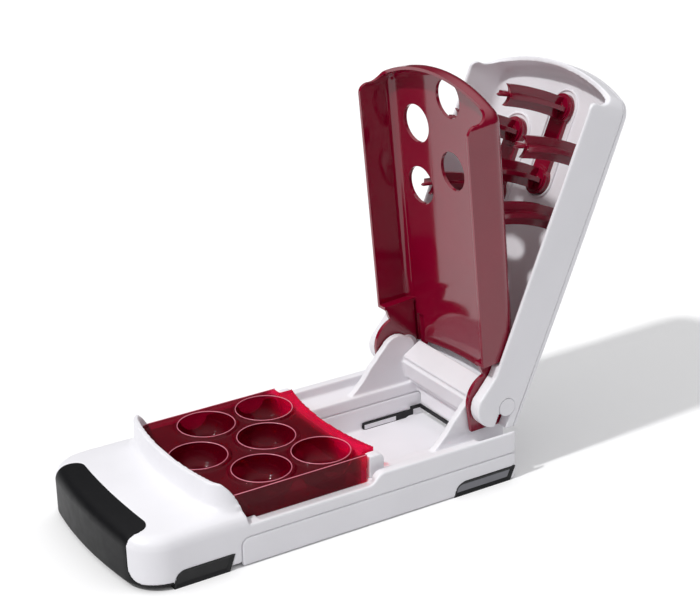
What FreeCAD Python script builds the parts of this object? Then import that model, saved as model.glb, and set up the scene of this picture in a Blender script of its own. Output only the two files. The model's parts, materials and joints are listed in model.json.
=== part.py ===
"""Six-hole cherry pitter with a lever, drawn open.

Millimetres. X runs from the grip at the front (minus) to the hinge at the rear
(plus), Y across, Z up. Everything is drawn round the hinge axis at X = 0 and
moved at the end, so that the origin is under the middle of the whole object.
The shield and the lever are drawn closed, lying towards -X, and then opened.
"""
import FreeCAD
import Part
import math
import os

# The sizes that drive the rest: the half width and the arcs of the six rods
base_half = 49.3
rod_radius_mid_front = 137.0
rod_radius_mid_rear = 101.8
rod_radius_side_front = 118.8
rod_radius_side_rear = 87.8
well_r = 13.5

# Tray, counted from the foremost rod and the half width
tray_half = base_half - 7.1
tray_front_x = -rod_radius_mid_front - well_r - 1.7
tray_front_bow = 5.6
tray_corner = 8.0
tray_rear_x = -rod_radius_side_rear + well_r + 0.6
tray_flange_x = tray_rear_x + 6.7
tray_flange_half = base_half - 12.7
tray_flange_bow = 4.7
tray_top_z = 31.5
tray_deck_z = 30.6
tray_deck_thick = 1.7
tray_wall = 1.7
tray_step_z = 25.0
tray_step = 0.3
tray_gap = 0.3

# Base, seen from above
nose_x = tray_front_x - 41.6
nose_bow = 5.0
nose_corner = 17.0
rear_x = 4.8
rear_corner = 4.0

# Heights of the base above the table
foot_lift = 0.6
nose_lift = 1.8
parting_z = 13.9
parting_x = tray_front_x + 9.9
parting_corner = 4.0
parting_gap = 0.2
ledge_z = 19.5
seat_z = 17.7
seat_lip_half = base_half - 1.7
rim_z = 24.4
handle_side_z = 24.6
handle_crown = 2.4
handle_edge = 6.0
nose_drop = 2.6

# Side rims behind the tray
rim_inner_half = base_half - 4.6
rim_front_x = tray_rear_x - 5.3
rim_full_x = tray_rear_x + 6.2

# Collar in front of the tray
collar_wall = 2.4
collar_top_z = 38.0
collar_side_half = base_half - 5.7
collar_foot = 2.6

# Open bay behind the tray and the space under the tray
bay_front_x = tray_rear_x + 9.7
bay_half_low = base_half - 18.9
bay_half_top = base_half - 16.7
bay_rear_x = 2.6
drop_half = tray_half - 4.4
drop_front_x = tray_front_x + 8.8
drop_rear_x = tray_rear_x + 4.7

# Hinge
hinge_z = 36.7
fin_inner_half = base_half - 15.3
fin_wall = 3.6
fin_top_z = 45.5
cover_thick = 1.8
hub_big_r = 6.2
hub_small_r = 4.3
hub_spigot_r = 3.0
hub_spigot = 2.0
running_gap = 0.06
scoop_r = 21.0
scoop_half = base_half - 1.9

# Wells, their drop holes and the rods that pass through them
well_wall = 1.4
well_ring = 1.5
well_floor_z = 18.6
well_tube_z = 14.6
well_clear_r = 10.9
drop_hole_r = 6.7
column_y = base_half - 22.8
well_mid_front_x = -rod_radius_mid_front + 0.1
well_mid_rear_x = -rod_radius_mid_rear
well_side_front_x = -rod_radius_side_front - 0.2
well_side_rear_x = -rod_radius_side_rear - 0.6
rod_half = 5.2
rod_fin = 2.2
rod_end_mid_front_deg = -9.8
rod_end_side_front_deg = -12.7
rod_end_mid_rear_deg = -15.6
rod_end_side_rear_deg = -18.5
cup_depth = 2.3
spike_r = 0.85
spike_reach = 4.0

# Splatter shield
open_shield_deg = 85.3
shield_half = base_half - 4.4
shield_draft = 1.4
shield_wall = 1.6
shield_rim_n = -10.3
shield_end_rim_n = 2.0
shield_plate_n = 10.0
shield_plate_thick = 1.6
shield_crown = 2.6
shield_corner = 6.0
shield_end_r = rod_radius_mid_front + 14.5
shield_end_bow_r = 2.16 * shield_half
shield_end_corner = 8.0
shield_step_r = 23.0
shield_edge_r = 0.8
shield_edge_bow = 3.2
shield_hole_r = 9.4
cheek_inner_half = shield_half - 6.7
cheek_wall = 2.0
fin_clear = 0.6
fin_notch_r = 16.0

# Lever
open_lever_deg = 113.0
lever_half = base_half - 2.4
lever_inner_half = lever_half - 1.8
lever_rim_n = -12.6
lever_end_rim_n = 1.0
lever_top_hinge_n = 15.2
lever_top_mid_n = 17.0
lever_top_end_n = 16.2
lever_crown = 4.6
lever_draft = 0.6
lever_edge = 6.0
lever_skin = 1.5
lever_end_r = shield_end_r + 5.7
lever_end_bow_r = 2.516 * lever_half
lever_end_corner = 9.5
lever_back_r = -7.0
lever_seam_n = 7.8
lever_boss_half = cheek_inner_half + cheek_wall + 0.4
lever_boss_r = 16.8
lever_slot_half = 3.3

# Carriers of the rods
carrier_face_mid_n = 11.0
carrier_face_side_n = 9.9
lobe_r = 7.3
arm_half = 5.4
boss_r = 6.3
boss_lift = 0.8
socket_depth = 1.2
socket_r = 3.0

# Soft grip, feet and seal
grip_wall = 2.8
grip_half = base_half - 12.3
grip_back_x = nose_x + 13.2
grip_back_bow = 2.6
grip_corner = 6.0
grip_strip_z = 3.4
grip_curl = 7.0
front_foot_x = (nose_x + 18.6, nose_x + 48.2)
front_foot_z = 7.9
rear_foot_x = (-31.2, 3.2)
rear_foot_z = 6.8
foot_depth = 9.0
foot_slot = 1.0
foot_frame = 2.6
seal_z = 6.2

# Pit catcher
catcher_wall = 2.1
catcher_floor_z = 0.7
catcher_floor = 1.5
catcher_top = 1.6

# Latches at the rear corners of the tray
latch_inner_half = base_half - 11.9
latch_outer_half = tray_half
latch_front_x = tray_rear_x + 0.9
latch_rear_x = latch_front_x + 7.8
latch_top_z = 30.0


def vec(x, y, z):
    return FreeCAD.Vector(x, y, z)


def at(plane, a, b):
    """A point of a drawing plane through the origin."""
    if plane == "XZ":
        return vec(a, 0, b)
    if plane == "YZ":
        return vec(0, a, b)
    return vec(a, b, 0)


def outline(plane, start, *steps):
    """A closed wire. A step is a corner, or (through, end) for an arc."""
    edges = []
    here = start
    for step in steps + (start,):
        if isinstance(step[0], tuple):
            through, end = step
            curve = Part.Arc(at(plane, *here), at(plane, *through), at(plane, *end))
            edges.append(curve.toShape())
            here = end
        elif step != here:
            edges.append(Part.LineSegment(at(plane, *here), at(plane, *step)).toShape())
            here = step
    return Part.Wire(edges)


def slab(plane, low, high, start, *steps):
    """The outline pushed from low to high along the third axis."""
    normal = {"XZ": vec(0, 1, 0), "YZ": vec(1, 0, 0), "XY": vec(0, 0, 1)}[plane]
    face = Part.Face(outline(plane, start, *steps))
    face.translate(normal * low)
    return face.extrude(normal * (high - low))


def block(x0, x1, y0, y1, z0, z1):
    return Part.makeBox(x1 - x0, y1 - y0, z1 - z0, vec(x0, y0, z0))


def rod_y(radius, y0, y1, x=0.0, z=hinge_z):
    """A round bar along Y."""
    return Part.makeCylinder(radius, y1 - y0, vec(x, y0, z), vec(0, 1, 0))


def rod_z(radius, x, y, z0, z1):
    return Part.makeCylinder(radius, z1 - z0, vec(x, y, z0), vec(0, 0, 1))


def flipped(shape):
    """The same piece on the other side of the middle plane."""
    return shape.mirror(vec(0, 0, 0), vec(0, 1, 0))


def both(shape):
    return [shape, flipped(shape)]


def joined(first, *others):
    return first.fuse(list(others)).removeSplitter()


def upright_edges(shape, picks):
    """Edges along Z that pass near the given (x, y) points."""
    found = []
    for edge in shape.Edges:
        ends = [v.Point for v in edge.Vertexes]
        if len(ends) == 2 and (ends[0] - ends[1]).Length > 0.5:
            flat = math.hypot(ends[0].x - ends[1].x, ends[0].y - ends[1].y)
            near = min(math.hypot(ends[0].x - x, ends[0].y - y) for x, y in picks)
            if flat < 0.01 and near < 0.5:
                found.append(edge)
    return found


def arc_drop(radius, half):
    """How far an arc of this radius falls back at this distance from its crown."""
    return radius - math.sqrt(radius * radius - half * half)


# Plan of the base

def base_plan(inset, z0, z1):
    """The base's outline: bowed nose, rounded corners, straight sides."""
    half = base_half - inset
    nose = nose_x + inset
    shoulder = nose + nose_bow * half / base_half
    rear = rear_x - inset
    body = slab("XY", z0, z1, (rear, -half), (rear, half), (shoulder, half),
                ((nose, 0.0), (shoulder, -half)))
    front = upright_edges(body, [(shoulder, half), (shoulder, -half)])
    body = body.makeFillet(nose_corner - inset, front)
    back = upright_edges(body, [(rear, half), (rear, -half)])
    return body.makeFillet(max(rear_corner - inset, 1.0), back)


def handle_body(inset):
    """The front of the base with its rounded nose and softly crowned top."""
    side = handle_side_z - inset
    low = nose_lift + 0.5 * inset
    n = nose_x + inset
    rear = parting_x + 42.0
    wires = []
    for x, drop in ((n - 8.0, nose_drop), (n + 12.0, 0.2 * nose_drop), (n + 40.0, 0.0), (rear + 1.0, 0.0)):
        wide = base_half + 6.0
        edge_z = side - drop - 0.25 * handle_crown
        wire = outline("YZ", (-wide, 0.0), (wide, 0.0), (wide, edge_z),
                       ((0.0, side + handle_crown - drop), (-wide, edge_z)))
        wire.translate(vec(x, 0, 0))
        wires.append(wire)
    body = base_plan(inset, low, 40.0).common(Part.makeLoft(wires, True, False))
    rims = [e for e in body.Edges if e.BoundBox.ZMin > side - nose_drop - 2.0 and e.BoundBox.XMin < rear - 0.5]
    body = body.makeFillet(handle_edge - 0.8 * inset, rims)
    feet = [e for e in body.Edges if e.BoundBox.ZMax < low + 0.01 and e.BoundBox.XMin < rear - 0.5]
    return body.makeFillet(1.8, feet)


def grip_zone():
    """What the soft grip takes of the handle: the nose and a strip below."""
    back = grip_back_x
    ends = back + grip_back_bow
    plan = slab("XY", 0.0, 40.0, (nose_x - 5, -grip_half), (ends, -grip_half),
                ((back, 0.0), (ends, grip_half)), (nose_x - 5, grip_half))
    plan = plan.makeFillet(grip_corner, upright_edges(plan, [(ends, grip_half), (ends, -grip_half)]))
    strip = block(nose_x - 5, front_foot_x[0], -60, 60, 0.0, grip_strip_z)
    zone = joined(plan, strip)
    inner = [e for e in zone.Edges if abs(e.BoundBox.ZMin - grip_strip_z) < 0.01
             and abs(e.BoundBox.ZMax - grip_strip_z) < 0.01
             and abs(abs(e.BoundBox.Center.y) - grip_half) < 0.01]
    return zone.makeFillet(grip_curl, inner)


def tray_plan(grow, z0, z1, rear, corner=tray_corner, half=tray_half):
    """The tray's outline, its bowed front first, grown or shrunk."""
    wide = half + grow
    front = tray_front_x - grow
    shoulder = front + tray_front_bow
    body = slab("XY", z0, z1, (rear, -wide), (rear, wide), (shoulder, wide),
                ((front, 0.0), (shoulder, -wide)))
    return body.makeFillet(corner + grow, upright_edges(body, [(shoulder, wide), (shoulder, -wide)]))


def ear_sweep():
    """The space behind the collar's ears, which sweep down to the ledge."""
    front = tray_front_x
    return slab("XZ", -60, 60, (front + 14.0, ledge_z),
                ((front + 12.1, 28.6), (front + 5.6, collar_top_z)),
                (front + 3.2, collar_top_z + 3.0), (front + 52.0, collar_top_z + 20.0), (front + 52.0, ledge_z))


def ear_keep():
    """The collar's ears, which the tray's dished seat stops at."""
    front = tray_front_x
    ears = block(front - 7.8, front + 20.2, -base_half, base_half, 0, 60)
    return ears.cut(ear_sweep()).cut(tray_plan(tray_gap, 0.0, 60.0, front + 42.0))


def hopper(z0, z1, x0, x1):
    """The bay's space, narrower towards the floor."""
    def half(z):
        share = (z - catcher_floor_z) / (rim_z - catcher_floor_z)
        return bay_half_low + (bay_half_top - bay_half_low) * share
    return slab("YZ", x0, x1, (-half(z0), z0), (half(z0), z0), (half(z1), z1), (-half(z1), z1))


def fin():
    """One swept fin with its flank, on the +Y side."""
    top = fin_top_z
    return slab("XZ", fin_inner_half, fin_inner_half + fin_wall, (-37.0, ledge_z - 1.0),
                ((-30.0, 24.2), (-24.0, 31.6)), (-14.6, 41.9), ((-8.2, top), (-1.8, 43.6)),
                ((1.8, 41.2), (2.4, 37.5)), (2.4, ledge_z - 1.0))


def base_housing():
    """White body: handle, tray seat, side rims, fins and the hinge beam."""
    handle = handle_body(0.0)
    collar = tray_plan(tray_gap + collar_wall, ledge_z - 1.0, collar_top_z, tray_front_x + 32.0,
                       half=collar_side_half - tray_gap - collar_wall)
    foot = tray_plan(tray_gap + collar_wall + collar_foot, ledge_z, handle_side_z + 2.8, tray_front_x + 22.0,
                     half=collar_side_half - tray_gap - collar_wall - 1.5)
    frame = base_plan(0.0, parting_z, ledge_z)
    frame = frame.common(block(parting_x - 10, rear_x, -60, 60, 0, 60))
    front = joined(handle.common(block(nose_x - 10, tray_front_x + 22, -60, 60, 0, 60)), collar, foot)
    front = front.cut(ear_sweep())
    under = slab("XZ", -60, 60, (parting_x, -1.0), (parting_x, parting_z - parting_corner),
                 ((parting_x + 0.3 * parting_corner, parting_z - 0.3 * parting_corner),
                  (parting_x + parting_corner, parting_z)),
                 (parting_x + 42.0, parting_z), (parting_x + 42.0, -1.0))
    rims = base_plan(0.0, ledge_z - 1.0, rim_z)
    rims = rims.cut(block(nose_x - 10, rear_x - 2.4, -rim_inner_half, rim_inner_half, 0, 60))
    ramp = slab("XZ", -60, 60, (nose_x - 10, ledge_z), (rim_front_x, ledge_z),
                ((rim_front_x + 3.8, 20.4), (rim_front_x + 5.6, 22.0)),
                ((rim_front_x + 7.4, 23.6), (rim_full_x, rim_z)), (rim_full_x, 60.0), (nose_x - 10, 60.0))
    rims = rims.cut(ramp)
    beam = hinge_beam()
    body = joined(frame, front, rims, beam, *both(fin()))
    body = body.cut(under)
    body = body.cut(tray_plan(tray_gap, seat_z, 60.0, tray_front_x + 42.0))
    seat = tray_half + tray_gap
    dish = slab("YZ", tray_front_x + 13.6, tray_rear_x + tray_gap, (-seat_lip_half, ledge_z),
                (-seat, seat_z), (seat, seat_z), (seat_lip_half, ledge_z),
                (seat_lip_half, ledge_z + 20), (-seat_lip_half, ledge_z + 20))
    body = body.cut(dish.cut(ear_keep()))
    body = body.cut(block(drop_front_x, drop_rear_x, -drop_half, drop_half, parting_z - 1, ledge_z + 1))
    body = body.cut(hopper(parting_z - 1.0, rim_z, bay_front_x, bay_rear_x).cut(hinge_beam()))
    for x, y, radius, name in well_places():
        body = body.cut(rod_z(well_clear_r, x, y, parting_z + 0.4, ledge_z + 1))
    hollow = handle_body(6.0).common(block(nose_x, well_mid_front_x - well_clear_r - 1.5, -60, 60, 0, 16.0))
    ribs = [block(nose_x, tray_front_x + 52, y - 1.0, y + 1.0, 1.5, 17.0) for y in (-17.0, 17.0)]
    ribs.append(block(nose_x + 30.8, nose_x + 32.8, -60, 60, 1.5, 17.0))
    body = body.cut(hollow.cut(ribs))
    for side in both(rod_y(scoop_r, fin_inner_half + fin_wall, scoop_half)):
        body = body.cut(side)
    for side in both(rod_y(hub_spigot_r, fin_inner_half + fin_wall - hub_spigot, fin_inner_half + fin_wall)):
        body = body.cut(side)
    for gap in both(foot_solid(front_foot_x, front_foot_z, 0.0)):
        body = body.cut(gap)
    taken = grip_zone().common(handle_body(0.0).cut(handle_body(grip_wall)))
    return body.cut(taken).removeSplitter()


def hinge_beam():
    """The beam between the fins: leaning front, round back, rear wall below."""
    reach = fin_inner_half
    upper = slab("XZ", -reach, reach, (-3.0, 22.6), (-5.2, 31.4), (-3.9, 31.9), (-4.3, 32.9),
                 (6.0, 39.227), ((8.1, 36.7), (4.8, 30.1)), (rear_x, parting_z),
                 (bay_rear_x, parting_z), (bay_rear_x, 19.0), (-1.2, 20.0), (-1.2, 21.9))
    reach = bay_half_low - 0.6
    apron = block(bay_rear_x, rear_x, -reach, reach, seal_z + 1.4, parting_z + 1.0)
    return joined(upper, apron)


def hinge_cover():
    """The flat plate clipped on the beam's sloping top."""
    low = (-4.3, 32.9)
    high = (6.0, 39.227)
    slope = math.atan2(high[1] - low[1], high[0] - low[0])
    up = (-math.sin(slope) * cover_thick, math.cos(slope) * cover_thick)
    reach = fin_inner_half - 0.2
    return slab("XZ", -reach, reach, low, high, (high[0] + up[0], high[1] + up[1]),
                (low[0] + up[0] + 0.5, low[1] + up[1] + 0.3), (low[0] + up[0] * 0.6, low[1] + up[1] * 0.6))


def hinge_hub():
    """Stepped pin: spigot in the fin, wide seat for the shield, narrow for the lever."""
    face = fin_inner_half + fin_wall
    spigot = rod_y(hub_spigot_r, face - hub_spigot, face)
    wide = rod_y(hub_big_r, face, lever_boss_half - 0.2)
    narrow = rod_y(hub_small_r, lever_boss_half - 0.2, lever_half - 0.2)
    return joined(spigot, wide, narrow)


def foot_solid(span, top, recess):
    """A rubber foot, its front corner rounded and its rear end leaning."""
    x0, x1 = span
    depth = foot_depth
    body = slab("XZ", base_half - depth, base_half, (x0, 0.0), (x0 + 1.0, 3.0),
                ((x0 + 2.6, top - 1.4), (x0 + 6.5, top)), (x1, top), (x1 - 3.0, 0.0))
    if recess:
        f = foot_frame
        slot = slab("XZ", base_half - recess, base_half + 1, (x0 + f + 1.0, -1.0), (x0 + f + 1.4, 2.4),
                    ((x0 + f + 2.4, top - f - 0.8), (x0 + f + 4.6, top - f)),
                    (x1 - f - 1.2, top - f), (x1 - f - 3.6, -1.0))
        body = body.cut(slot)
    return body


def front_grip():
    """Soft black grip over the nose, with its strip along the bottom edge."""
    skin = handle_body(0.0).cut(handle_body(grip_wall))
    return grip_zone().common(skin).removeSplitter()


def well_places():
    """Each well's centre, the radius of its rod's arc and its name."""
    return [(well_side_front_x, -column_y, rod_radius_side_front, "near_front"),
            (well_side_rear_x, -column_y, rod_radius_side_rear, "near_rear"),
            (well_mid_front_x, 0.0, rod_radius_mid_front, "mid_front"),
            (well_mid_rear_x, 0.0, rod_radius_mid_rear, "mid_rear"),
            (well_side_front_x, column_y, rod_radius_side_front, "far_front"),
            (well_side_rear_x, column_y, rod_radius_side_rear, "far_rear")]


def turned(x, y, *profile):
    """A solid of revolution about the upright line at (x, y)."""
    face = Part.Face(outline("XZ", *profile))
    solid = face.revolve(vec(0, 0, 0), vec(0, 0, 1), 360)
    solid.translate(vec(x, y, 0))
    return solid


def drop_x(radius, z):
    """Where a rod on an arc round the hinge crosses this height."""
    return -math.sqrt(radius ** 2 - (hinge_z - z) ** 2)


def bowl(x, y, grow, top):
    """The bowl of a well: a deep cup that narrows in a second step."""
    r = well_r + grow
    low = well_floor_z - grow
    return turned(x, y, (0.0, low), (7.4 + grow, low), (8.9 + grow, 21.8 - 0.5 * grow),
                  (9.7 + grow, 22.3 - grow),
                  ((12.3 + grow, 26.2 - 0.6 * grow), (r, tray_top_z)), (r, top), (0.0, top))


def cherry_tray():
    """Clear red tray: a skirted deck with six bowls and their drop tubes."""
    rear = tray_rear_x
    upper = tray_plan(0.0, tray_step_z, tray_top_z, rear)
    lower = tray_plan(-tray_step, seat_z, tray_step_z, rear - tray_step)
    flange = slab("XY", tray_deck_z - tray_deck_thick, tray_top_z, (rear - 4, -tray_flange_half),
                  (tray_flange_x, -tray_flange_half),
                  ((tray_flange_x - tray_flange_bow, 0.0), (tray_flange_x, tray_flange_half)),
                  (rear - 4, tray_flange_half))
    hollow = tray_plan(-tray_wall - tray_step, seat_z - 1, tray_deck_z - tray_deck_thick,
                       rear - tray_wall - tray_step)
    dish = tray_plan(-tray_wall, tray_deck_z, tray_top_z + 1, rear - tray_wall)
    body = joined(upper, lower, flange).cut(hollow).cut(dish)
    adds = []
    cuts = []
    for x, y, radius, name in well_places():
        hole_x = drop_x(radius, 0.5 * (well_tube_z + well_floor_z))
        adds.append(bowl(x, y, well_wall, tray_top_z))
        adds.append(turned(x, y, (well_r - 0.5, tray_deck_z - 1.0), (well_r + well_ring, tray_deck_z - 1.0),
                           (well_r + well_ring, tray_deck_z),
                           ((well_r + 0.75 * well_ring, tray_top_z - 0.25), (well_r + 0.3, tray_top_z)),
                           (well_r - 0.5, tray_top_z)))
        adds.append(rod_z(drop_hole_r + well_wall, hole_x, y, well_tube_z, well_floor_z + 1.0))
        cuts.append(bowl(x, y, 0.0, tray_top_z + 2))
        cuts.append(rod_z(drop_hole_r, hole_x, y, well_tube_z - 1, 22.5))
    return body.fuse(adds).cut(cuts).removeSplitter()


def tray_latch():
    """A white post that holds the tray's rear corner."""
    post = slab("XZ", latch_inner_half, latch_outer_half, (latch_front_x, ledge_z),
                (latch_front_x, latch_top_z - 1.5),
                ((latch_front_x + 0.5, latch_top_z - 0.4), (latch_front_x + 1.6, latch_top_z)),
                (latch_rear_x - 2.6, latch_top_z), ((latch_rear_x - 0.8, latch_top_z - 0.8),
                                                    (latch_rear_x, latch_top_z - 2.8)), (latch_rear_x, ledge_z))
    grip = block(latch_rear_x - 2.2, latch_rear_x + 1, latch_inner_half + 1.2, latch_outer_half - 1.2,
                 ledge_z + 3.0, ledge_z + 5.5)
    return post.cut(grip)


def pit_catcher():
    """Lower shell that slides out to the rear: floor, twin walls, open back."""
    top = parting_z - parting_gap
    front = parting_x + parting_gap
    shell = base_plan(0.0, foot_lift, top).common(block(front, rear_x, -60, 60, 0, 60))
    trim = block(front - 1, front + parting_corner, -60, 60, top - parting_corner, top + 1)
    trim = trim.cut(rod_y(parting_corner, -60, 60, front + parting_corner, top - parting_corner))
    shell = shell.cut(trim)
    floor_top = catcher_floor_z + catcher_floor
    drop = block(front + catcher_wall, drop_rear_x + 1.0, -drop_half, drop_half, floor_top, top + 1)
    bay = hopper(floor_top, top + 1.0, drop_rear_x, rear_x + 5.0)
    shell = shell.cut([drop, bay])
    side_room = block(front + catcher_wall, drop_rear_x - 1.0, drop_half + catcher_wall,
                      base_half - catcher_wall, -1, top - catcher_top)
    bay_room = block(drop_rear_x + catcher_wall, rear_x - catcher_wall, bay_half_top + catcher_wall - 0.6,
                     base_half - catcher_wall, -1, top - catcher_top)
    shell = shell.cut(both(side_room) + both(bay_room))
    shell = shell.cut(both(rear_foot_solid(0.0)))
    return shell.removeSplitter()


def rear_foot_solid(recess):
    """Rubber foot that plugs the cut-out in both walls of the catcher."""
    body = foot_solid(rear_foot_x, rear_foot_z, recess)
    x0, x1 = rear_foot_x
    inner = slab("XZ", bay_half_low - 0.2, base_half - foot_depth, (x0, 0.0), (x0, 5.2),
                 (x1 - 8.0, 5.2), (x1 - 8.0, 0.0))
    body = joined(body, inner)
    if recess:
        body = body.cut(block(x0 + 4.0, x1 - 14.0, bay_half_low - 1, bay_half_low + 0.8, 2.0, 4.4))
    return body


def rear_seal():
    """Thin black strip along the lower edge of the rear wall."""
    return block(bay_rear_x + 0.2, rear_x - 0.2, 1.0 - bay_half_low, bay_half_low - 1.0, seal_z, seal_z + 1.4)


def opened(shape, degrees):
    """Swing a piece drawn closed about the hinge axis."""
    piece = shape.copy()
    piece.rotate(vec(0, 0, hinge_z), vec(0, 1, 0), degrees)
    return piece


def panel_form(half, draft, end_r, bow_r, corner, tops, crown, edge, near_r):
    """A closed panel: arched end, crowned top, rounded corners and edges.

    tops lists (distance from the hinge axis, height over it) along the middle.
    """
    z = hinge_z
    low = z - 30.0
    shoulder = arc_drop(bow_r, half) - end_r
    plan = slab("XY", low, z + 40.0, (-near_r, -half), (-near_r, half), (shoulder, half),
                ((-end_r, 0.0), (shoulder, -half)))
    wires = []
    for r, top in tops:
        wide = half + 6.0
        side = z + top - crown * (wide / half) ** 2
        wire = outline("YZ", (-wide, low), (wide, low), (wide, side), ((0.0, z + top), (-wide, side)))
        wire.translate(vec(-r, 0, 0))
        wires.append(wire)
    highest = max(top for r, top in tops)
    lean = draft / (highest + 30.0)
    walls = slab("YZ", -end_r - 9.0, 60.0, (-half - 12.0 * lean, low), (half + 12.0 * lean, low),
                 (half - (28.0 + highest) * lean, z + 10.0 + highest),
                 (-half + (28.0 + highest) * lean, z + 10.0 + highest))
    body = plan.common(Part.makeLoft(wires, True, False)).common(walls)
    corners = []
    for e in body.Edges:
        ends = [v.Point for v in e.Vertexes]
        if len(ends) == 2 and max(ends[0].x, ends[1].x) < 0.7 * shoulder and abs(ends[0].z - ends[1].z) > 15.0:
            corners.append(e)
    body = body.makeFillet(corner, corners)
    rims = [e for e in body.Edges if e.BoundBox.ZMin > z + 2.0 and e.BoundBox.XMin < -near_r - 0.1]
    return body.makeFillet(edge, rims)


def shield_form(inset, near_r):
    """The shield's outer form, or its inside when drawn in by the wall."""
    top = shield_plate_n + (0.0 if inset else shield_plate_thick)
    return panel_form(shield_half - inset, shield_draft, shield_end_r - inset, shield_end_bow_r - inset,
                      shield_end_corner - inset, [(near_r - 1.0, top), (shield_end_r + 6.0, top)],
                      shield_crown, shield_corner - inset, near_r)


def splatter_shield():
    """Burgundy channel with an arched end, six holes and two hinge cheeks."""
    z = hinge_z
    channel = shield_form(0.0, shield_step_r)
    inside = shield_form(shield_wall, shield_step_r + shield_wall)
    body = channel.cut(inside)
    end = shield_end_r
    below = slab("XZ", -60, 60, (5.0, z + shield_rim_n), (-end + 18.0, z + shield_rim_n),
                 ((-end + 14.6, z - 9.0), (-end + 13.2, z - 5.6)),
                 ((-end + 11.9, z - 0.4), (-end + 7.5, z + shield_end_rim_n)),
                 (-end - 5.0, z + shield_end_rim_n), (-end - 5.0, z - 40), (5.0, z - 40))
    body = body.cut(below)
    open_front = block(-shield_step_r - 5, 5, -cheek_inner_half, cheek_inner_half, 0, z + 60.0)
    body = body.cut(shield_form(shield_wall, -8.0).common(open_front))
    low_n = shield_plate_n
    cheek_half = cheek_inner_half + cheek_wall
    edge = -shield_edge_r
    plan = slab("XY", z - 20, z + 20, (-shield_step_r - 4, -cheek_half), (edge, -cheek_half),
                ((edge - shield_edge_bow, 0.0), (edge, cheek_half)), (-shield_step_r - 4, cheek_half))
    skin = shield_form(0.0, -5.0).cut(shield_form(shield_wall, -8.0))
    skin = skin.common(block(-60, 5, -60, 60, z + 3.0, z + 30))
    plate = plan.common(skin)
    notch = block(-fin_notch_r, 10, fin_inner_half - fin_clear, cheek_inner_half, z + 2.0, z + 30)
    cheek = slab("XZ", cheek_inner_half, cheek_half, (-shield_step_r - 1.0, z + 6.6), (-24.0, z - 9.6),
                 ((-20.0, z - 8.6), (-16.8, z - 7.6)), ((-13.4, z - 13.3), (-3.0, z - 17.3)),
                 (9.6, z - 16.4), (10.3, z - 4.0), ((9.2, z + 3.6), (3.0, z + 6.6)), (edge, z + 6.6))
    body = joined(body, plate, *both(cheek))
    cuts = both(notch)
    for x, y, radius, name in well_places():
        depth = low_n + 0.5 * shield_plate_thick - shield_crown * (y / shield_half) ** 2
        hole_x = -math.sqrt(radius ** 2 - depth ** 2)
        cuts.append(rod_z(shield_hole_r, hole_x, y, z + 4.0, z + 16.0))
    cuts.append(rod_y(hub_big_r + running_gap, -60, 60))
    return body.cut(cuts).removeSplitter()


def lever_form(inset_side, inset_top, inset_end):
    """The lever's outer form, or the same form drawn in by the insets."""
    tops = [(lever_back_r - 12.0, lever_top_hinge_n - inset_top),
            (0.5 * lever_end_r, lever_top_mid_n - inset_top), (lever_end_r + 4.0, lever_top_end_n - inset_top)]
    return panel_form(lever_half - inset_side, lever_draft, lever_end_r - inset_end,
                      lever_end_bow_r - inset_end, lever_end_corner - 0.5 * inset_end, tops, lever_crown,
                      lever_edge - 0.5 * inset_top, lever_back_r - 8.0)


def lever_side_cut():
    """Everything below the lever's rim and round its hinge end."""
    z = hinge_z
    rim = z + lever_rim_n
    end = lever_end_r
    r = lever_boss_r
    return slab("XZ", -60, 60, (-end + 15.2, rim), ((-end + 13.2, rim + 1.2), (-end + 12.4, rim + 3.6)),
                ((-end + 10.8, z - 2.2), (-end + 5.8, z + lever_end_rim_n)), (-end - 9, z + lever_end_rim_n),
                (-end - 9, z - 40), (40, z - 40), (40, z + 40), (-lever_back_r, z + 40),
                (-lever_back_r, z + 10.0), ((9.6, z + 5.4), (10.2, z - 3.0)),
                ((7.4, z - 0.86 * r), (0.0, z - r)), ((-7.0, z - 0.86 * r), (-13.0, rim)))


def lever_shell():
    """The whole lever body before its outer cover is parted off."""
    z = hinge_z
    outer = lever_form(0.0, 0.0, 0.0)
    inner = lever_form(lever_half - lever_inner_half, 2 * lever_skin, 2.4)
    shell = outer.cut(inner)
    boss = [s.common(outer) for s in both(rod_y(21.6, lever_boss_half, lever_inner_half + 0.5))]
    boss = [s.cut(block(-40, 40, -60, 60, z + 9.0, z + 40)) for s in boss]
    shell = joined(shell, *boss).cut(lever_side_cut())
    return shell


def lever_cover_zone():
    """The outer skin above the seam."""
    skin = lever_form(0.0, 0.0, 0.0).cut(lever_form(lever_skin - 0.6, lever_skin, 1.2))
    return skin.common(block(-220, 60, -60, 60, hinge_z + lever_seam_n, 90))


def lever_frame():
    """White frame: side walls, hinge bosses, arched end and inner plate."""
    body = lever_shell().cut(lever_cover_zone())
    body = body.cut(block(-fin_notch_r, 30, -lever_boss_half, lever_boss_half, 0, 90))
    body = body.cut(rod_y(hub_small_r + running_gap, -60, 60))
    slot = block(0.0, 30.0, -60, 60, hinge_z - lever_slot_half, hinge_z + lever_slot_half)
    for side in both(block(0.0, 30.0, lever_boss_half - 1, 60, 0, 90)):
        body = body.cut(slot.common(side))
    return body.removeSplitter()


def lever_cover():
    """Crowned outer cover of the lever."""
    return lever_shell().common(lever_cover_zone()).removeSplitter()


def carrier_face(y):
    """Height of a carrier's face over the hinge: the lever's top is crowned."""
    return carrier_face_side_n if y else carrier_face_mid_n


def rod_root_x(y, radius):
    return -math.sqrt(radius ** 2 - carrier_face(y) ** 2)


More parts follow.
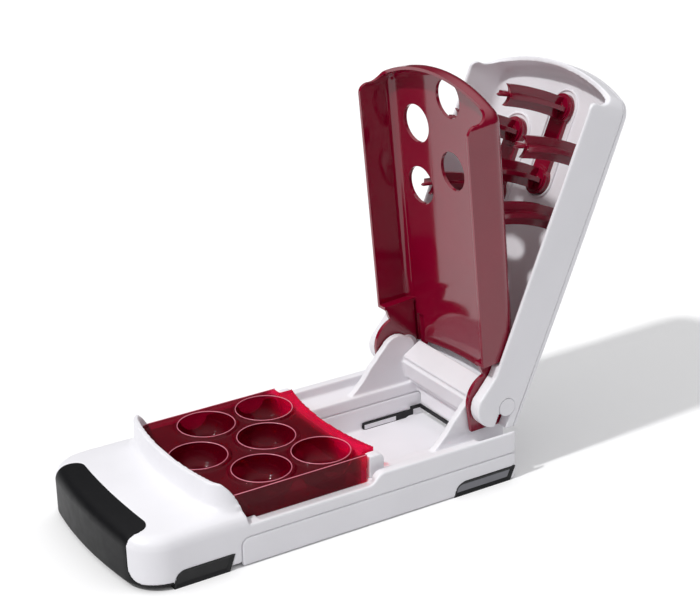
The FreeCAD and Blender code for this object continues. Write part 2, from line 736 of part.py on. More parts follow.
def rod_carrier(y, front_radius, rear_radius):
    """A two-lobed bar seated on the lever's inner plate."""
    x0 = rod_root_x(y, front_radius)
    x1 = rod_root_x(y, rear_radius)
    low = hinge_z + carrier_face(y)
    high = hinge_z + 30.0
    body = joined(rod_z(lobe_r, x0, y, low, high), rod_z(lobe_r, x1, y, low, high),
                  block(x0, x1, y - arm_half, y + arm_half, low + 0.6, high))
    body = body.common(lever_form(lever_half - lever_inner_half, 2 * lever_skin, 2.4))
    bosses = [rod_z(boss_r, x, y, low - boss_lift, low + 1.0) for x in (x0, x1)]
    sockets = [rod_z(socket_r, x, y, low - 2, low - boss_lift + socket_depth) for x in (x0, x1)]
    return body.fuse(bosses).cut(sockets).removeSplitter()


def pitting_rod(y, radius, stop):
    """A plus-shaped rod bent round the hinge, cupped at its end, with a spike."""
    z = hinge_z
    seat = carrier_face(y) - boss_lift
    start = math.degrees(math.asin(seat / radius))
    half = rod_half
    fin_half = 0.5 * rod_fin
    upright = slab("XY", 0, 0.001, (-radius - half, y - fin_half), (-radius + half, y - fin_half),
                   (-radius + half, y + fin_half), (-radius - half, y + fin_half))
    crossed = slab("XY", 0, 0.001, (-radius - fin_half, y - half), (-radius + fin_half, y - half),
                   (-radius + fin_half, y + half), (-radius - fin_half, y + half))
    plus = [min(s.Faces, key=lambda f: f.CenterOfMass.z) for s in (upright, crossed)]
    arms = []
    for face in plus:
        face.translate(vec(0, 0, z))
        arm = face.revolve(vec(0, 0, z), vec(0, 1, 0), stop - start)
        arm.rotate(vec(0, 0, z), vec(0, 1, 0), start)
        arms.append(arm)
    angle = math.radians(stop)
    tip = vec(-radius * math.cos(angle), y, z + radius * math.sin(angle))
    along = vec(-math.sin(angle), 0, -math.cos(angle))
    ball_r = (half ** 2 + cup_depth ** 2) / (2 * cup_depth)
    cup = Part.makeSphere(ball_r, tip + along * (ball_r - cup_depth))
    spike = Part.makeCylinder(spike_r, spike_reach + cup_depth + 1.0, tip - along * (cup_depth + 1.0), along)
    point = Part.makeCone(spike_r, 0.3, 1.0, tip + along * spike_reach, along)
    root = rod_z(socket_r, rod_root_x(y, radius), y, z + seat - 0.6, z + seat + socket_depth)
    body = joined(arms[0], arms[1])
    body = body.cut(block(-200, 0, -60, 60, z + seat, z + 60))
    body = body.cut(cup)
    return joined(body, root, spike, point)


def build():
    """Every piece in its rest place, still round the hinge axis."""
    parts = {}
    parts["base_housing"] = base_housing()
    parts["front_grip"] = front_grip()
    parts["hinge_cover"] = hinge_cover()
    parts["cherry_tray"] = cherry_tray()
    parts["pit_catcher"] = pit_catcher()
    parts["rear_seal"] = rear_seal()
    for name, shape in (("tray_latch", tray_latch()), ("hinge_hub", hinge_hub()),
                        ("front_foot", foot_solid(front_foot_x, front_foot_z, foot_slot)),
                        ("rear_foot", rear_foot_solid(foot_slot))):
        parts[name + "_far"] = shape
        parts[name + "_near"] = flipped(shape)
    parts["splatter_shield"] = opened(splatter_shield(), open_shield_deg)
    parts["lever_frame"] = opened(lever_frame(), open_lever_deg)
    parts["lever_cover"] = opened(lever_cover(), open_lever_deg)
    for y, side in ((-column_y, "near"), (0.0, "mid"), (column_y, "far")):
        radii = {"front": rod_radius_side_front, "rear": rod_radius_side_rear}
        ends = {"front": rod_end_side_front_deg, "rear": rod_end_side_rear_deg}
        if side == "mid":
            radii = {"front": rod_radius_mid_front, "rear": rod_radius_mid_rear}
            ends = {"front": rod_end_mid_front_deg, "rear": rod_end_mid_rear_deg}
        carrier = rod_carrier(y, radii["front"], radii["rear"])
        parts["rod_carrier_" + side] = opened(carrier, open_lever_deg)
        for place, radius in radii.items():
            rod = pitting_rod(y, radius, ends[place])
            parts["pitting_rod_" + side + "_" + place] = opened(rod, open_lever_deg)
    return parts


def main():
    parts = build()
    boxes = [shape.optimalBoundingBox(False, False) for shape in parts.values()]
    lows = [box.XMin for box in boxes]
    highs = [box.XMax for box in boxes]
    middle = 0.5 * (min(lows) + max(highs))
    os.makedirs("parts", exist_ok=True)
    for name, shape in parts.items():
        shape.translate(vec(-middle, 0, 0))
        shape.exportStep("parts/" + name + ".step")
        print(name, len(shape.Solids), "solid(s)", shape.isValid(), round(shape.Volume), "mm3")
    print("hinge axis at x", round(-middle, 4), "z", hinge_z)


main()
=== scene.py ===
# %% [markdown]
# # A six-hole cherry pitter, dressed for its portrait
# The CAD model gives every piece its place and size. This script loads it as a fixed frame, adds the
# finishes and the moulded detail that the solids leave out, and lights it like a catalogue picture.

import json
import math

import bmesh
import bpy
from mathutils import Matrix, Vector

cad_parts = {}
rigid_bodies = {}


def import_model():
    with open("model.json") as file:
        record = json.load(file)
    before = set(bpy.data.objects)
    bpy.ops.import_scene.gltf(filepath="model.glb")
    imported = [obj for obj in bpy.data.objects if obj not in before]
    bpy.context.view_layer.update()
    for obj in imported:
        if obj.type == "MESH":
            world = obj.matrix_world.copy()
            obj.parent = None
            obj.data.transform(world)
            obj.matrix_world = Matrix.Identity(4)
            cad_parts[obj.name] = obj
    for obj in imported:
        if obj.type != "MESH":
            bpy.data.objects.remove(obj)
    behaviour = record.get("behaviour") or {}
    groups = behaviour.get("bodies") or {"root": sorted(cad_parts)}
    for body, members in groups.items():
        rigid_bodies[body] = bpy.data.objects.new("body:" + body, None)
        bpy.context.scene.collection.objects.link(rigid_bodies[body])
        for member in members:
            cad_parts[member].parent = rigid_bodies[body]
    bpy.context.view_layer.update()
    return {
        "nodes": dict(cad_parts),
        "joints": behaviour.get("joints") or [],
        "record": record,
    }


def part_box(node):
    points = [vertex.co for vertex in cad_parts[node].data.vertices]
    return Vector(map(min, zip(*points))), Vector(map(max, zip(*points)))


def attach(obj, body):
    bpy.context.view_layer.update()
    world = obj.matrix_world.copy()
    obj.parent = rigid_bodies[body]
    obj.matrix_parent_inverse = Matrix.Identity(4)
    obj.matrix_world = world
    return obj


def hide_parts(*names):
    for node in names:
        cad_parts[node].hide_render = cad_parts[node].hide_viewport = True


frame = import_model()
print("pieces in the frame:", len(frame["nodes"]))

# %% [markdown]
# ## Units and the hinge
# Blender works in metres, and a plastic part is drawn in millimetres, so one constant turns one into the
# other. The shield and the lever share one axis. Its place is read from the joint and not typed again,
# so the dressing follows the model if the model changes.

# %% Units and the hinge
MM = 0.001
hinge = Vector(next(j for j in frame["joints"] if j["name"] == "shield_hinge")["pos_m"])
print("hinge axis at x %.2f mm, z %.2f mm" % (hinge.x / MM, hinge.z / MM))

# %% [markdown]
# ## The camera
# The picture was taken with a long lens from about 0.9 m, a little above the object. A long lens keeps the
# sides almost parallel, as a product picture does. The camera's place is counted from the hinge, because
# that is the point everything else is measured from. Its three axes are built one from the other: the
# way back to the photographer, then up, then right, and last a small roll that levels the frame.

# %% The camera
azimuth, elevation, roll = (math.radians(a) for a in (31.26, 22.55, 1.317))
focal_px, frame_px, sensor = 1800.43, 700, 36.0
eye = Vector((hinge.x - 0.4506, -0.6509, 0.4006))

back = Vector((-math.sin(azimuth) * math.cos(elevation),
               -math.cos(azimuth) * math.cos(elevation), math.sin(elevation)))
right = Vector((math.cos(azimuth), -math.sin(azimuth), 0))
up = back.cross(right)
right, up = (right * math.cos(roll) - up * math.sin(roll),
             right * math.sin(roll) + up * math.cos(roll))

camera_data = bpy.data.cameras.new("camera")
camera_data.sensor_fit = "HORIZONTAL"
camera_data.sensor_width = sensor
camera_data.lens = focal_px * sensor / frame_px
camera = bpy.data.objects.new("camera", camera_data)
bpy.context.scene.collection.objects.link(camera)
camera.matrix_world = Matrix.Translation(eye) @ Matrix((right, up, back)).transposed().to_4x4()
bpy.context.scene.camera = camera
print("lens %.1f mm" % camera_data.lens)

# %% [markdown]
# ## Writing materials
# A material is a small network of nodes. One helper adds a node, sets it and links it, so each material
# below reads like a recipe. Another turns the hex colours of a paint card, which are sRGB, into the
# linear numbers that Blender mixes light in.

# %% Two helpers for materials
def linear(code):
    """The linear colour of an sRGB hex code such as "F2F0F4"."""
    parts = [int(code[i:i + 2], 16) / 255 for i in (0, 2, 4)]
    return [c / 12.92 if c <= 0.04045 else ((c + 0.055) / 1.055) ** 2.4 for c in parts] + [1.0]


def add(tree, kind, links=None, inputs=None, **settings):
    """Adds a node: settings are its own properties, inputs fill its sockets, links feed them."""
    made = tree.nodes.new(kind)
    for name, value in settings.items():
        setattr(made, name, value)
    for name, value in (inputs or {}).items():
        made.inputs[name].default_value = value
    for name, source in (links or {}).items():
        tree.links.new(source, made.inputs[name])
    return made


def blank(name):
    """A new material with an empty network."""
    made = bpy.data.materials.new(name)
    made.use_nodes = True
    made.node_tree.nodes.clear()
    return made, made.node_tree

# %% [markdown]
# ## White ABS
# The base, the catcher and the lever are injection moulded ABS. Out of a lightly textured mould it comes
# satin white, never pure: a trace of blue-violet pigment, a fine grain from the mould that breaks up the
# highlights, and a roughness that wanders a little where the melt flowed. The grain is 0.35 mm across
# and a few microns deep, so it is felt in the highlight and not seen as a pattern. No moulded edge is
# a knife edge: the Bevel node turns the light over the last 0.35 mm, which gives each rim its thin line.

# %% Moulded plastic and the white ABS
def grain(tree, size_mm, detail=2.0):
    """Even noise with lumps of this size, on the piece's own coordinates."""
    place = add(tree, "ShaderNodeTexCoord")
    return add(tree, "ShaderNodeTexNoise", {"Vector": place.outputs["Object"]},
               {"Scale": 1 / (size_mm * MM), "Detail": detail}).outputs["Fac"]


def spread(tree, source, low, high):
    """Turns the middle of a noise into a value between low and high."""
    return add(tree, "ShaderNodeMapRange", {"Value": source},
               {"From Min": 0.3, "From Max": 0.7, "To Min": low, "To Max": high}).outputs["Result"]


def two_tones(tree, source, first, second):
    """Two close hex colours, mixed by a value from 0 to 1."""
    mix = add(tree, "ShaderNodeMix", {0: source}, {6: linear(first), 7: linear(second)},
              data_type="RGBA")
    return mix.outputs[2]


rim_mm = 0.35


def moulded(name, tones, rough, ior, grain_mm, grain_depth_mm, wave_depth_mm=0.0, **sockets):
    """A moulded plastic: two tones 30 mm apart, mould grain, soft edges and slow waves."""
    material, tree = blank(name)
    colour = two_tones(tree, spread(tree, grain(tree, 30.0), 0.0, 1.0), *tones)
    edge = add(tree, "ShaderNodeBevel", {}, {"Radius": rim_mm * MM}, samples=4)
    fine = add(tree, "ShaderNodeBump", {"Height": grain(tree, grain_mm), "Normal": edge.outputs["Normal"]},
               {"Strength": 1.0, "Distance": grain_depth_mm * MM})
    wave = add(tree, "ShaderNodeBump", {"Height": grain(tree, 9.0, 0.0), "Normal": fine.outputs["Normal"]},
               {"Strength": 1.0, "Distance": wave_depth_mm * MM})
    shader = add(tree, "ShaderNodeBsdfPrincipled",
                 {"Base Color": colour, "Roughness": spread(tree, grain(tree, 5.0), *rough),
                  "Normal": wave.outputs["Normal"]}, dict({"IOR": ior}, **sockets))
    add(tree, "ShaderNodeOutputMaterial", {"Surface": shader.outputs["BSDF"]})
    return material


white_abs = moulded("white_moulded_abs", ("F2F1F5", "EEEDF1"), (0.30, 0.40), 1.54, 0.35, 0.002, 0.01)
print("finish:", white_abs.name)

# %% [markdown]
# ## Soft black grip and rubber feet
# The nose is overmoulded with a thermoplastic elastomer: near black, with a soft broad highlight,
# because its skin takes no gloss from the mould. The feet are a duller, harder rubber of the same colour,
# and the rear feet show a grey window inside their black frame: painted shade, standing for the white
# catcher seen in shade.

# %% Grip and foot rubber
grip_tpe = moulded("black_soft_elastomer", ("060609", "08080B"), (0.42, 0.48), 1.45, 0.25, 0.0015,
                   **{"Specular IOR Level": 0.24})
# Painted shade: the grey window in the rear feet stands for the white catcher seen in shade.
painted_shade_window = moulded("grey_window_painted_shade", ("85858B", "7C7C82"), (0.5, 0.6), 1.5, 0.3, 0.002)
foot_rubber = moulded("matt_black_rubber", ("101013", "141417"), (0.55, 0.62), 1.5, 0.3, 0.002)
print("finishes:", grip_tpe.name, painted_shade_window.name, foot_rubber.name)

# %% [markdown]
# ## Burgundy ABS
# The shield, the carriers and the rods come from a polished mould, so the plastic is a deep cherry red
# under an almost clear gloss. Polished plastic is never optically flat: very slow waves, a few microns
# deep and 9 mm apart, bend the reflections a little.

# %% Burgundy ABS
burgundy_abs = moulded("burgundy_polished_abs", ("880429", "800326"), (0.07, 0.11), 1.53, 0.5, 0.0002, 0.012,
                        **{"Coat Weight": 0.35, "Coat Roughness": 0.05})
print("finish:", burgundy_abs.name)

# %% [markdown]
# ## Clear red plastic
# The tray is clear styrene-acrylonitrile with a deep red dye. It takes nearly all the green and blue out
# of the light, and every further wall takes more of the red, so the hollow under the deck reads as wine
# red. Towards the rear lip the tint turns lighter by position: painted light, for the glow of light through
# the lip's single sheet. A wall 1.7 mm thick hardly shifts what is seen through it, because the light comes
# out parallel. So the body bends light very little, part of it scatters in the dye, and a clear coat at the
# real refractive index carries the gloss. For shadow rays the wall is a red filter. The bright line that
# light leaves at the edges is a painted highlight: the edges get a pale pink finish of their own.

# %% Clear red plastic
clear_red, tree = blank("clear_red_san")
soft_wave = add(tree, "ShaderNodeBump", {"Height": grain(tree, 8.0, 0.0)},
                {"Strength": 1.0, "Distance": 0.01 * MM})
place = add(tree, "ShaderNodeTexCoord")
along = add(tree, "ShaderNodeSeparateXYZ", {"Vector": place.outputs["Object"]})
lip_x = hinge.x - 0.0745
# Painted light: the tint turns lighter towards the rear lip, for the glow of light through its single sheet.
painted_lip_glow = add(tree, "ShaderNodeMapRange", {"Value": along.outputs["X"]},
               {"From Min": lip_x - 6 * MM, "From Max": lip_x + 1 * MM}, interpolation_type="SMOOTHSTEP")
dye_and_painted_lip_glow = two_tones(tree, painted_lip_glow.outputs["Result"], "7E0220", "E4104E")
wall = add(tree, "ShaderNodeBsdfPrincipled", {"Base Color": dye_and_painted_lip_glow, "Normal": soft_wave.outputs["Normal"],
                                              "Coat Normal": soft_wave.outputs["Normal"]},
           {"Roughness": 0.02, "IOR": 1.06, "Transmission Weight": 0.66, "Coat Weight": 0.22,
            "Coat IOR": 1.57, "Coat Roughness": 0.04})
filter_red = add(tree, "ShaderNodeBsdfTransparent", {"Color": dye_and_painted_lip_glow})
rays = add(tree, "ShaderNodeLightPath")
shown = add(tree, "ShaderNodeMixShader", {0: rays.outputs["Is Shadow Ray"], 1: wall.outputs["BSDF"],
                                          2: filter_red.outputs["BSDF"]})
add(tree, "ShaderNodeOutputMaterial", {"Surface": shown.outputs["Shader"]})
# Painted highlight: the pale pink of the edge beads paints the bright line at the tray's edges.
painted_edge_highlight = moulded("painted_highlight_of_red_san_edges", ("E892A4", "D87C90"), (0.12, 0.2), 1.57, 0.5, 0.0002)
print("finishes:", clear_red.name, painted_edge_highlight.name)

# %% [markdown]
# ## Dressing the frame
# Every piece of the frame names the material slot it belongs to, so a table from slot to finish dresses
# them all in one loop. The pieces that are cast again below take the same finishes.

# %% Dress the frame's pieces
finishes = {"white_plastic": white_abs, "grip_rubber": grip_tpe, "foot_rubber": foot_rubber,
            "clear_red_plastic": clear_red, "burgundy_plastic": burgundy_abs}
slot_of = {part["node"]: part["material_slot"] for part in frame["record"]["subparts"]}
for name, piece in frame["nodes"].items():
    piece.data.materials.clear()
    piece.data.materials.append(finishes[slot_of[name]])
print("dressed:", len(slot_of))

# %% [markdown]
# ## Soft white mouldings
# On the real base no two faces meet in a line: the collar grows out of the handle in a hollow curve and
# every rim rolls over. One by one those edges could be bevelled, but where many of them meet a bevel
# folds over itself. So the CAD shape is copied, its loose triangles are merged, and the copy is cast
# again in small even cells. Smoothing the cells rounds all the edges at once by about half a
# millimetre, as a mould maker's radius does, and the flat faces stay flat.

# %% Cast a piece again with soft edges
def merged_copy(node):
    """A CAD piece's triangles in a new mesh, with their doubles merged."""
    form = bmesh.new()
    form.from_mesh(frame["nodes"][node].data)
    bmesh.ops.remove_doubles(form, verts=form.verts, dist=0.002 * MM)
    return form


def shown_as(name, form, finish, body, node=None):
    """Puts a finished bmesh in the scene, riding on its body, in place of a CAD node if one is named."""
    mesh = bpy.data.meshes.new(name)
    form.to_mesh(mesh)
    form.free()
    piece = bpy.data.objects.new(name, mesh)
    bpy.context.scene.collection.objects.link(piece)
    mesh.materials.append(finish)
    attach(piece, body)
    if node:
        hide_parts(node)
    print("%s: %d faces" % (name, len(mesh.polygons)))
    return piece


def cast_soft(form, cell_mm, rounds, share):
    """Recasts a closed form in even cells, smooths it and thins the flat parts."""
    mesh = bpy.data.meshes.new("cast")
    form.to_mesh(mesh)
    form.free()
    cast = bpy.data.objects.new("cast", mesh)
    bpy.context.scene.collection.objects.link(cast)
    cells = cast.modifiers.new("cells", "REMESH")
    cells.mode, cells.voxel_size = "VOXEL", cell_mm * MM
    soften = cast.modifiers.new("soften", "SMOOTH")
    soften.factor, soften.iterations = 0.5, rounds
    cast.modifiers.new("thin", "DECIMATE").ratio = share
    ready = bpy.data.meshes.new_from_object(cast.evaluated_get(bpy.context.evaluated_depsgraph_get()))
    bpy.data.objects.remove(cast)
    again = bmesh.new()
    again.from_mesh(ready)
    for face in again.faces:
        face.smooth = True
    return again


# %% [markdown]
# ## Base and lever
# The base takes one more step. Where the collar stands on the handle the mould has a wide hollow curve
# of about 3 mm, so the cells of that band alone are smoothed many times over. Places on this part are
# easiest to give from the hinge along the base, across from the middle, and up from the table.

# %% Cast the base and the lever's frame
def from_hinge(x, y, z):
    """A point drawn in millimetres round the hinge axis, with z over the table."""
    return Vector((hinge.x + x * MM, y * MM, z * MM))


base = cast_soft(merged_copy("base_housing"), 0.5, 4, 0.28)
low, high = from_hinge(-166, -47.5, 23.8), from_hinge(-141, 47.5, 31.5)
band = [v for v in base.verts if all(low[i] < v.co[i] < high[i] for i in range(3))]
collar_rounds = 40
for _ in range(collar_rounds):
    bmesh.ops.smooth_vert(base, verts=band, factor=0.5, use_axis_x=True, use_axis_y=True, use_axis_z=True)
print("cells in the collar's hollow curve:", len(band))
shown_as("base_housing_moulded", base, white_abs, "base", "base_housing")
shown_as("lever_frame_moulded", cast_soft(merged_copy("lever_frame"), 0.5, 3, 0.4), white_abs, "lever",
         "lever_frame")

# %% [markdown]
# ## The other mouldings
# The catcher, the tray, its two posts and the plate on the hinge beam come from the same kind of mould, so
# they are cast again in the same way. The posts and the beam's plate are small and get finer cells and
# more rounds, because their corners are rounder for their size than the rest.

# %% Cast the other mouldings
for node, finish, body, slot, cell_mm, rounds, share in (
        ("pit_catcher", white_abs, "catcher", "white_plastic", 0.6, 3, 0.3),
        ("cherry_tray", clear_red, "base", "clear_red_plastic", 0.5, 2, 0.45),
        ("tray_latch_near", white_abs, "base", "white_plastic", 0.25, 12, 0.5),
        ("tray_latch_far", white_abs, "base", "white_plastic", 0.25, 12, 0.5),
        ("hinge_cover", white_abs, "base", "white_plastic", 0.4, 8, 0.3)):
    shown_as(node + "_moulded", cast_soft(merged_copy(node), cell_mm, rounds, share), finish, body,
             node)

# %% [markdown]
# ## Painted highlights on the tray's edges
# On the real tray each well and the deck's near and far edges end in a thin bright line. It could be
# painted on with a mask, but a mask fades where the cast cells are round. So the sharp upper edges are
# picked from the CAD shape: along the two sides of the deck, and the inner edge of each well's ring. A fine
# round bead is laid along them, sunk a little into the tray so that the closed shield still clears it.
# Its pale pink finish is a painted highlight: it paints that bright line in.

# %% Beads on the tray's edges
beads = merged_copy("cherry_tray")
below_deck, ring_crest = from_hinge(0, 0, 29.9).z, from_hinge(0, 0, 31.2).z
ring_reach, deck_side, sharp = 14.2 * MM, 41.0 * MM, math.radians(48)
row = 26.5
wells = [from_hinge(x, y, 0).xy for x, y in ((-119.0, -row), (-88.4, -row), (-136.9, 0.0), (-101.8, 0.0),
                                             (-119.0, row), (-88.4, row))]


def gets_highlight_bead(edge):
    """Whether an edge of the tray gets a bead with a painted highlight."""
    lowest = min(v.co.z for v in edge.verts)
    if edge.calc_face_angle(0) < sharp or lowest < below_deck:
        return False
    on_side = min(abs(v.co.y) for v in edge.verts) >= deck_side
    near_well = min((edge.verts[0].co.xy - well).length for well in wells) <= ring_reach
    return on_side or (lowest >= ring_crest and near_well)


dull = [edge for edge in beads.edges if not gets_highlight_bead(edge)]
bmesh.ops.delete(beads, geom=beads.faces[:], context="FACES_ONLY")
bmesh.ops.delete(beads, geom=dull, context="EDGES")
drawn_in, sunk_mm, bead_mm = 0.991, 0.12, 0.24
bmesh.ops.scale(beads, vec=(1.0, drawn_in, 1.0), verts=beads.verts)
bmesh.ops.translate(beads, vec=(0, 0, -sunk_mm * MM), verts=beads.verts)
line = bpy.data.meshes.new("bead_line")
beads.to_mesh(line)
beads.free()
guide = bpy.data.objects.new("bead_line", line)
bpy.context.scene.collection.objects.link(guide)
for other in bpy.context.view_layer.objects:
    other.select_set(other == guide)
bpy.context.view_layer.objects.active = guide
bpy.ops.object.convert(target="CURVE")
guide.data.bevel_depth, guide.data.bevel_resolution = bead_mm * MM, 1
bead = bmesh.new()
bead.from_mesh(bpy.data.meshes.new_from_object(guide.evaluated_get(bpy.context.evaluated_depsgraph_get())))
bpy.data.objects.remove(guide)
for face in bead.faces:
    face.smooth = True
# The beads carry the painted highlight of the tray's edges.
shown_as("tray_edge_highlight_beads", bead, painted_edge_highlight, "base")

# %% [markdown]
# ## Feet with a window
# Each foot is a black rubber frame, rounded at the front and leaning at the rear. It is drawn as one
# flat outline with its front corner rounded, pulled in to the foot's depth, and its outer face is inset
# by the width of the frame and pushed in. At the rear the face inside the frame is painted grey, painted
# shade for the white catcher seen in shade, and the foot goes on inwards as a plug that comes through
# to the bay.

# %% Feet
base_half = -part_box("base_housing")[0].y / MM
foot_lean, foot_depth, frame_mm, recess_mm = 3.0, 9.0, 1.7, 0.9
plug_inner, plug_outer, plug_short, plug_top = 30.2, 40.4, 4.6, 5.6


def box_of(form, low, high):
    """Adds a box between two corners, in metres."""
    cube = bmesh.ops.create_cube(form, size=1.0)["verts"]
    bmesh.ops.scale(form, vec=high - low, verts=cube)
    bmesh.ops.translate(form, vec=(low + high) / 2, verts=cube)


def frame_foot(node, side, span, top, body, window, plug):
    """A foot with its frame; side is -1 for the near one."""
    form = bmesh.new()
    first, last = span
    outline = [form.verts.new(from_hinge(x, side * base_half, z))
               for x, z in ((first, 0), (first + 0.9, top), (last, top), (last - foot_lean, 0))]
    form.faces.new(outline)
    bmesh.ops.bevel(form, geom=[outline[1]], offset=4.4 * MM, offset_type="OFFSET", affect="VERTICES",
                    segments=8, profile=0.5, material=-1)
    pulled = bmesh.ops.extrude_face_region(form, geom=form.faces[:], use_keep_orig=True)
    bmesh.ops.translate(form, vec=(0, -side * foot_depth * MM, 0),
                        verts=[g for g in pulled["geom"] if isinstance(g, bmesh.types.BMVert)])
    bmesh.ops.recalc_face_normals(form, faces=form.faces)
    outer = [f for f in form.faces if f.normal.y * side > 0.9]
    bmesh.ops.inset_region(form, faces=outer, thickness=frame_mm * MM, depth=-recess_mm * MM,
                           use_even_offset=True, use_boundary=True)
    for face in outer:
        face.material_index = 1
    if plug:
        ends = sorted((side * plug_inner, side * plug_outer))
        box_of(form, from_hinge(first, ends[0], 0), from_hinge(last - plug_short, ends[1], plug_top))
    piece = shown_as(node + "_framed", form, foot_rubber, body, node)
    piece.data.materials.append(window)


for side, name in ((-1, "near"), (1, "far")):
    frame_foot("front_foot_" + name, side, (-175.2, -145.6), 7.9, "base", foot_rubber, False)
    frame_foot("rear_foot_" + name, side, (-31.2, 3.2), 6.8, "catcher", painted_shade_window, True)

# %% [markdown]
# ## The seal in the bay
# Inside the bay the rear foot comes through the wall as a light plate in a thin black frame, and a black
# seal turns the corner and runs along the foot of the rear wall. The part that slides out with the
# catcher stays below the seal, which belongs to the base.

# %% Bay seal
plate = bmesh.new()
box_of(plate, from_hinge(-30.3, 29.85, 2.3), from_hinge(-12.0, 30.2, 4.5))
shown_as("bay_foot_plate", plate, white_abs, "catcher")

seal = bmesh.new()
box_of(seal, from_hinge(1.9, -29.6, 6.0), from_hinge(2.6, 29.7, 7.9))
box_of(seal, from_hinge(-3.4, 29.3, 6.0), from_hinge(2.6, 30.0, 7.7))
shown_as("rear_seal_with_corner", seal, foot_rubber, "base", "rear_seal")

# %% [markdown]
# ## Skin over the fins' pockets
# The shield's plate is thin over the two fins but not open there. A small plate of the shield's own
# colour closes each pocket, clear of the fin, and is sheared to lie along the plate's crown. Like the
# ribs further down, it is drawn closed, where its sizes are plain, and swung open with its body.

# %% Pocket skins
shield_open = Matrix.Translation(hinge) @ Matrix.Rotation(math.radians(85.3), 4, "Y")
fin_middle, skin_under, crown_lean = 36.0, 9.35, 0.093
for side, name in ((-1, "near"), (1, "far")):
    skin = bmesh.new()
    box_of(skin, Vector((-16.4, -2.5, 0.0)) * MM, Vector((0.4, 2.5, 0.45)) * MM)
    crown = Matrix.Identity(4)
    crown[2][1] = -crown_lean * side
    seat = Matrix.Translation(Vector((0.0, fin_middle * side, skin_under)) * MM)
    bmesh.ops.transform(skin, matrix=shield_open @ seat @ crown, verts=skin.verts[:])
    shown_as("fin_pocket_skin_" + name, skin, burgundy_abs, "shield")

# %% [markdown]
# ## Ribs round the carriers
# Inside the lever a low rib runs round each carrier bar and locates it. It is drawn once as a loop
# with two round ends, pulled up into a wall, and given its thickness and round top. The lever's skin
# is crowned, so the outer ribs are sheared to lie along it.

# %% Ribs round the carriers
lever_open = math.radians(113.0)
swing = Matrix.Translation(hinge) @ Matrix.Rotation(lever_open, 4, "Y")
rib_radius_mm, rib_tall_mm, rib_thick_mm, rib_round_mm = 9.4, 1.9, 1.0, 0.38


def locating_rib(name, y_mm, front_mm, rear_mm, top_mm, lean):
    """A rib round one carrier, drawn closed and then swung open with the lever."""
    rib = bmesh.new()
    bmesh.ops.create_circle(rib, segments=48, radius=rib_radius_mm * MM)
    bmesh.ops.translate(rib, vec=((front_mm - rear_mm) * -MM, 0, 0),
                        verts=[v for v in rib.verts if v.co.x < -1e-6])
    walls = bmesh.ops.extrude_edge_only(rib, edges=rib.edges[:])
    bmesh.ops.translate(rib, vec=(0, 0, rib_tall_mm * MM),
                        verts=[g for g in walls["geom"] if isinstance(g, bmesh.types.BMVert)])
    bmesh.ops.recalc_face_normals(rib, faces=rib.faces)
    bmesh.ops.solidify(rib, geom=rib.faces[:], thickness=rib_thick_mm * MM)
    rims = [e for e in rib.edges if len(e.link_faces) == 2 and e.calc_face_angle(0) > 1.0]
    bmesh.ops.bevel(rib, geom=rims, offset=rib_round_mm * MM, offset_type="OFFSET", affect="EDGES", segments=3,
                    profile=0.5, material=-1, clamp_overlap=True)
    shear = Matrix.Identity(4)
    shear[2][1] = lean
    seat = Matrix.Translation(Vector((-rear_mm, y_mm, top_mm)) * MM)
    bmesh.ops.transform(rib, matrix=swing @ seat @ shear, verts=rib.verts[:])
    for face in rib.faces:
        face.smooth = True
    shown_as(name, rib, white_abs, "lever")


locating_rib("rib_round_mid_carrier", 0.0, 137.0, 101.8, 12.7, 0.0)
locating_rib("rib_round_near_carrier", -row, 118.8, 87.8, 11.4, 0.11)
locating_rib("rib_round_far_carrier", row, 118.8, 87.8, 11.4, -0.11)

# %% [markdown]
# ## Table and light
# The picture was taken on a white table. One hard light stands behind the grip, about 52 degrees
# high, and throws the shadow of the lever along the table to the right; the height is known because
# its light falls through one of the shield's holes on the lever. A white room fills the rest: the
# shaded sides still read as light grey. The room is brightest overhead and dim near the horizon, which
# is what keeps the black grip black and the red deep, and gloss mirrors a room that is dimmer still below.
# The camera and clear pieces see it at full white.

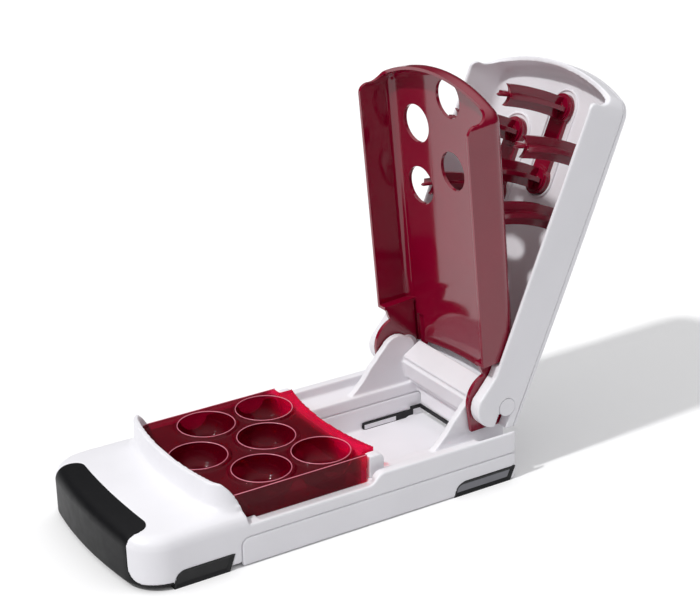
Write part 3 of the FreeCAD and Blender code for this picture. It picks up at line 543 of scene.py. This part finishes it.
# %% Table and light
table_material, tree = blank("white_table")
rays = add(tree, "ShaderNodeLightPath")
seen = add(tree, "ShaderNodeMath", {0: rays.outputs["Is Camera Ray"], 1: rays.outputs["Is Glossy Ray"]},
           operation="ADD")
seen = add(tree, "ShaderNodeMath", {0: seen.outputs[0], 1: rays.outputs["Is Transmission Ray"]},
           operation="ADD", use_clamp=True)
paper = add(tree, "ShaderNodeMix", {0: seen.outputs[0]}, {6: (0.75, 0.75, 0.76, 1), 7: (1, 1, 1, 1)},
            data_type="RGBA")
speck = add(tree, "ShaderNodeBump", {"Height": grain(tree, 0.6)}, {"Strength": 0.2, "Distance": 0.02 * MM})
matt = add(tree, "ShaderNodeBsdfDiffuse", {"Color": paper.outputs[2], "Normal": speck.outputs["Normal"]})
add(tree, "ShaderNodeOutputMaterial", {"Surface": matt.outputs["BSDF"]})

sheet = bmesh.new()
bmesh.ops.create_grid(sheet, x_segments=1, y_segments=1, size=4.0)
table = bpy.data.objects.new("table", bpy.data.meshes.new("table"))
sheet.to_mesh(table.data)
sheet.free()
table.data.materials.append(table_material)
bpy.context.scene.collection.objects.link(table)

world = bpy.data.worlds.new("white_room")
world.use_nodes = True
tree = world.node_tree
tree.nodes.clear()
way = add(tree, "ShaderNodeTexCoord")
height = add(tree, "ShaderNodeSeparateXYZ", {"Vector": way.outputs["Generated"]})
room = add(tree, "ShaderNodeMapRange", {"Value": height.outputs["Z"]},
           {"From Min": 0.15, "From Max": 0.75, "To Min": 0.12, "To Max": 0.82},
           interpolation_type="SMOOTHSTEP")
mirrored = add(tree, "ShaderNodeMapRange", {"Value": height.outputs["Z"]},
               {"From Min": 0.3, "From Max": 0.9, "To Min": 0.05, "To Max": 1.0},
               interpolation_type="SMOOTHSTEP")
rays = add(tree, "ShaderNodeLightPath")
room = add(tree, "ShaderNodeMix", {0: rays.outputs["Is Glossy Ray"], 2: room.outputs["Result"],
                                   3: mirrored.outputs["Result"]})
seen = add(tree, "ShaderNodeMath", {0: rays.outputs["Is Camera Ray"], 1: rays.outputs["Is Transmission Ray"]},
           operation="ADD", use_clamp=True)
level = add(tree, "ShaderNodeMix", {0: seen.outputs[0], 2: room.outputs[0]}, {3: 1.0})
glow = add(tree, "ShaderNodeBackground", {"Strength": level.outputs[0]}, {"Color": (0.99, 0.99, 1, 1)})
add(tree, "ShaderNodeOutputWorld", {"Surface": glow.outputs["Background"]})
bpy.context.scene.world = world

sun_way = Vector((0.616, 0.046, -0.787))
sun_data = bpy.data.lights.new("window", "SUN")
sun_data.energy = 1.75
sun_data.angle = math.radians(3.5)
sun = bpy.data.objects.new("window", sun_data)
sun.rotation_euler = sun_way.to_track_quat("-Z", "Y").to_euler()
bpy.context.scene.collection.objects.link(sun)

bpy.context.scene.view_settings.view_transform = "Standard"
print("table, room and one light")
